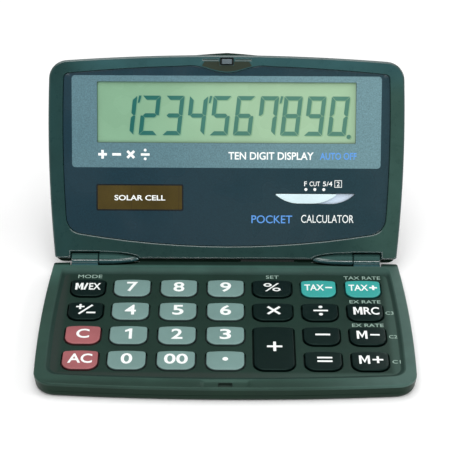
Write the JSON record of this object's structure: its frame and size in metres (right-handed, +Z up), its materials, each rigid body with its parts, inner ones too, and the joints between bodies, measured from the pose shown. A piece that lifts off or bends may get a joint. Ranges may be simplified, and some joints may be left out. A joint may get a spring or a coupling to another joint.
{
  "type": "folding pocket calculator",
  "caption": "Folding pocket calculator in two thin hinged halves, with rubber-mat keys, a sliding decimal selector and a solar-assisted LCD.",
  "frame": {"origin": "middle of the keyboard half's underside, on the surface it rests on", "axes": "+X to the user's right, +Y towards the hinge and away from the user, +Z up out of the keys"},
  "size_m": [0.106, 0.0911, 0.0598],
  "materials": {
    "case_plastic": "fine satin moulded texture, dark green-grey",
    "case_plastic_dark": "fine satin moulded texture, very dark green-grey",
    "frame_plastic": "satin, dark green-grey",
    "printed_window": "clear acrylic printed dark blue from behind, gloss",
    "key_grey_plastic": "satin",
    "key_dark_plastic": "satin",
    "key_red_plastic": "satin",
    "key_teal_plastic": "satin",
    "white_plastic": "semi-gloss",
    "latch_plastic": "semi-gloss",
    "lcd_glass": "polished",
    "lcd_film": "matt reflective film",
    "solar_glass": "polished, brown",
    "circuit_board": "solder resist",
    "chip_resin": "cast resin",
    "silicone_rubber": "matt",
    "carbon_rubber": "matt",
    "polyimide_ribbon": "smooth film",
    "steel": "plated",
    "battery_steel": "fine brushed nickel",
    "spring_brass": "plated strip"
  },
  "bodies": {
    "base": {"base_upper_case": "case_plastic", "base_lower_case": "case_plastic_dark", "rubber_key_mat": "silicone_rubber", "keyboard_contact_pads": "carbon_rubber", "keyboard_circuit_board": "circuit_board", "base_screws": "steel", "hinge_pin_left": "steel", "hinge_pin_right": "steel", "ribbon_cable": "polyimide_ribbon"},
    "lid": {"lid_front_frame": "frame_plastic", "lid_back_case": "case_plastic_dark", "display_window": "printed_window", "lcd_front_polariser": "lcd_film", "lcd_front_glass": "lcd_glass", "lcd_rear_glass": "lcd_glass", "lcd_reflector": "lcd_film", "zebra_connector": "carbon_rubber", "display_circuit_board": "circuit_board", "calculator_chip": "chip_resin", "solar_cell": "solar_glass", "solar_contact_pads": "carbon_rubber", "battery_cell": "battery_steel", "battery_contact_positive": "spring_brass", "battery_contact_negative": "spring_brass", "latch_hook": "latch_plastic", "lid_screws": "steel"},
    "decimal_selector": {"decimal_selector_knob": "white_plastic", "selector_wiper": "spring_brass"},
    "key_exchange_mode": {"key_exchange_mode": "key_dark_plastic"},
    "key_sign_change": {"key_sign_change": "key_dark_plastic"},
    "key_clear": {"key_clear": "key_red_plastic"},
    "key_all_clear": {"key_all_clear": "key_red_plastic"},
    "key_7": {"key_7": "key_grey_plastic"},
    "key_4": {"key_4": "key_grey_plastic"},
    "key_1": {"key_1": "key_grey_plastic"},
    "key_0": {"key_0": "key_grey_plastic"},
    "key_8": {"key_8": "key_grey_plastic"},
    "key_5": {"key_5": "key_grey_plastic"},
    "key_2": {"key_2": "key_grey_plastic"},
    "key_00": {"key_00": "key_grey_plastic"},
    "key_9": {"key_9": "key_grey_plastic"},
    "key_6": {"key_6": "key_grey_plastic"},
    "key_3": {"key_3": "key_grey_plastic"},
    "key_decimal_point": {"key_decimal_point": "key_grey_plastic"},
    "key_percent": {"key_percent": "key_dark_plastic"},
    "key_multiply": {"key_multiply": "key_dark_plastic"},
    "key_add": {"key_add": "key_dark_plastic"},
    "key_tax_minus": {"key_tax_minus": "key_teal_plastic"},
    "key_divide": {"key_divide": "key_dark_plastic"},
    "key_subtract": {"key_subtract": "key_dark_plastic"},
    "key_equals": {"key_equals": "key_dark_plastic"},
    "key_tax_plus": {"key_tax_plus": "key_teal_plastic"},
    "key_memory_recall": {"key_memory_recall": "key_dark_plastic"},
    "key_memory_subtract": {"key_memory_subtract": "key_dark_plastic"},
    "key_memory_add": {"key_memory_add": "key_dark_plastic"}
  },
  "joints": [
    {"name": "lid_hinge", "type": "hinge", "parent": "base", "child": "lid", "pos_m": [0, 0.0305, 0.005], "axis": [-1, 0, 0], "range_deg": [-116, 34], "deforming": ["ribbon_cable"]},
    {"name": "decimal_selector_slide", "type": "slide", "parent": "lid", "child": "decimal_selector", "axis": [1, 0, 0], "range_m": [0, 0.00534]},
    {"name": "key_exchange_mode_press", "type": "slide", "parent": "base", "child": "key_exchange_mode", "axis": [0, 0, -1], "range_m": [0, 0.0005], "stiffness_N_per_m": 600, "springref_m": -0.0003, "deforming": ["rubber_key_mat"]},
    {"name": "key_sign_change_press", "type": "slide", "parent": "base", "child": "key_sign_change", "axis": [0, 0, -1], "range_m": [0, 0.0005], "stiffness_N_per_m": 600, "springref_m": -0.0003, "deforming": ["rubber_key_mat"]},
    {"name": "key_clear_press", "type": "slide", "parent": "base", "child": "key_clear", "axis": [0, 0, -1], "range_m": [0, 0.0005], "stiffness_N_per_m": 600, "springref_m": -0.0003, "deforming": ["rubber_key_mat"]},
    {"name": "key_all_clear_press", "type": "slide", "parent": "base", "child": "key_all_clear", "axis": [0, 0, -1], "range_m": [0, 0.0005], "stiffness_N_per_m": 600, "springref_m": -0.0003, "deforming": ["rubber_key_mat"]},
    {"name": "key_7_press", "type": "slide", "parent": "base", "child": "key_7", "axis": [0, 0, -1], "range_m": [0, 0.0005], "stiffness_N_per_m": 600, "springref_m": -0.0003, "deforming": ["rubber_key_mat"]},
    {"name": "key_4_press", "type": "slide", "parent": "base", "child": "key_4", "axis": [0, 0, -1], "range_m": [0, 0.0005], "stiffness_N_per_m": 600, "springref_m": -0.0003, "deforming": ["rubber_key_mat"]},
    {"name": "key_1_press", "type": "slide", "parent": "base", "child": "key_1", "axis": [0, 0, -1], "range_m": [0, 0.0005], "stiffness_N_per_m": 600, "springref_m": -0.0003, "deforming": ["rubber_key_mat"]},
    {"name": "key_0_press", "type": "slide", "parent": "base", "child": "key_0", "axis": [0, 0, -1], "range_m": [0, 0.0005], "stiffness_N_per_m": 600, "springref_m": -0.0003, "deforming": ["rubber_key_mat"]},
    {"name": "key_8_press", "type": "slide", "parent": "base", "child": "key_8", "axis": [0, 0, -1], "range_m": [0, 0.0005], "stiffness_N_per_m": 600, "springref_m": -0.0003, "deforming": ["rubber_key_mat"]},
    {"name": "key_5_press", "type": "slide", "parent": "base", "child": "key_5", "axis": [0, 0, -1], "range_m": [0, 0.0005], "stiffness_N_per_m": 600, "springref_m": -0.0003, "deforming": ["rubber_key_mat"]},
    {"name": "key_2_press", "type": "slide", "parent": "base", "child": "key_2", "axis": [0, 0, -1], "range_m": [0, 0.0005], "stiffness_N_per_m": 600, "springref_m": -0.0003, "deforming": ["rubber_key_mat"]},
    {"name": "key_00_press", "type": "slide", "parent": "base", "child": "key_00", "axis": [0, 0, -1], "range_m": [0, 0.0005], "stiffness_N_per_m": 600, "springref_m": -0.0003, "deforming": ["rubber_key_mat"]},
    {"name": "key_9_press", "type": "slide", "parent": "base", "child": "key_9", "axis": [0, 0, -1], "range_m": [0, 0.0005], "stiffness_N_per_m": 600, "springref_m": -0.0003, "deforming": ["rubber_key_mat"]},
    {"name": "key_6_press", "type": "slide", "parent": "base", "child": "key_6", "axis": [0, 0, -1], "range_m": [0, 0.0005], "stiffness_N_per_m": 600, "springref_m": -0.0003, "deforming": ["rubber_key_mat"]},
    {"name": "key_3_press", "type": "slide", "parent": "base", "child": "key_3", "axis": [0, 0, -1], "range_m": [0, 0.0005], "stiffness_N_per_m": 600, "springref_m": -0.0003, "deforming": ["rubber_key_mat"]},
    {"name": "key_decimal_point_press", "type": "slide", "parent": "base", "child": "key_decimal_point", "axis": [0, 0, -1], "range_m": [0, 0.0005], "stiffness_N_per_m": 600, "springref_m": -0.0003, "deforming": ["rubber_key_mat"]},
    {"name": "key_percent_press", "type": "slide", "parent": "base", "child": "key_percent", "axis": [0, 0, -1], "range_m": [0, 0.0005], "stiffness_N_per_m": 600, "springref_m": -0.0003, "deforming": ["rubber_key_mat"]},
    {"name": "key_multiply_press", "type": "slide", "parent": "base", "child": "key_multiply", "axis": [0, 0, -1], "range_m": [0, 0.0005], "stiffness_N_per_m": 600, "springref_m": -0.0003, "deforming": ["rubber_key_mat"]},
    {"name": "key_add_press", "type": "slide", "parent": "base", "child": "key_add", "axis": [0, 0, -1], "range_m": [0, 0.0005], "stiffness_N_per_m": 600, "springref_m": -0.0003, "deforming": ["rubber_key_mat"]},
    {"name": "key_tax_minus_press", "type": "slide", "parent": "base", "child": "key_tax_minus", "axis": [0, 0, -1], "range_m": [0, 0.0005], "stiffness_N_per_m": 600, "springref_m": -0.0003, "deforming": ["rubber_key_mat"]},
    {"name": "key_divide_press", "type": "slide", "parent": "base", "child": "key_divide", "axis": [0, 0, -1], "range_m": [0, 0.0005], "stiffness_N_per_m": 600, "springref_m": -0.0003, "deforming": ["rubber_key_mat"]},
    {"name": "key_subtract_press", "type": "slide", "parent": "base", "child": "key_subtract", "axis": [0, 0, -1], "range_m": [0, 0.0005], "stiffness_N_per_m": 600, "springref_m": -0.0003, "deforming": ["rubber_key_mat"]},
    {"name": "key_equals_press", "type": "slide", "parent": "base", "child": "key_equals", "axis": [0, 0, -1], "range_m": [0, 0.0005], "stiffness_N_per_m": 600, "springref_m": -0.0003, "deforming": ["rubber_key_mat"]},
    {"name": "key_tax_plus_press", "type": "slide", "parent": "base", "child": "key_tax_plus", "axis": [0, 0, -1], "range_m": [0, 0.0005], "stiffness_N_per_m": 600, "springref_m": -0.0003, "deforming": ["rubber_key_mat"]},
    {"name": "key_memory_recall_press", "type": "slide", "parent": "base", "child": "key_memory_recall", "axis": [0, 0, -1], "range_m": [0, 0.0005], "stiffness_N_per_m": 600, "springref_m": -0.0003, "deforming": ["rubber_key_mat"]},
    {"name": "key_memory_subtract_press", "type": "slide", "parent": "base", "child": "key_memory_subtract", "axis": [0, 0, -1], "range_m": [0, 0.0005], "stiffness_N_per_m": 600, "springref_m": -0.0003, "deforming": ["rubber_key_mat"]},
    {"name": "key_memory_add_press", "type": "slide", "parent": "base", "child": "key_memory_add", "axis": [0, 0, -1], "range_m": [0, 0.0005], "stiffness_N_per_m": 600, "springref_m": -0.0003, "deforming": ["rubber_key_mat"]}
  ]
}
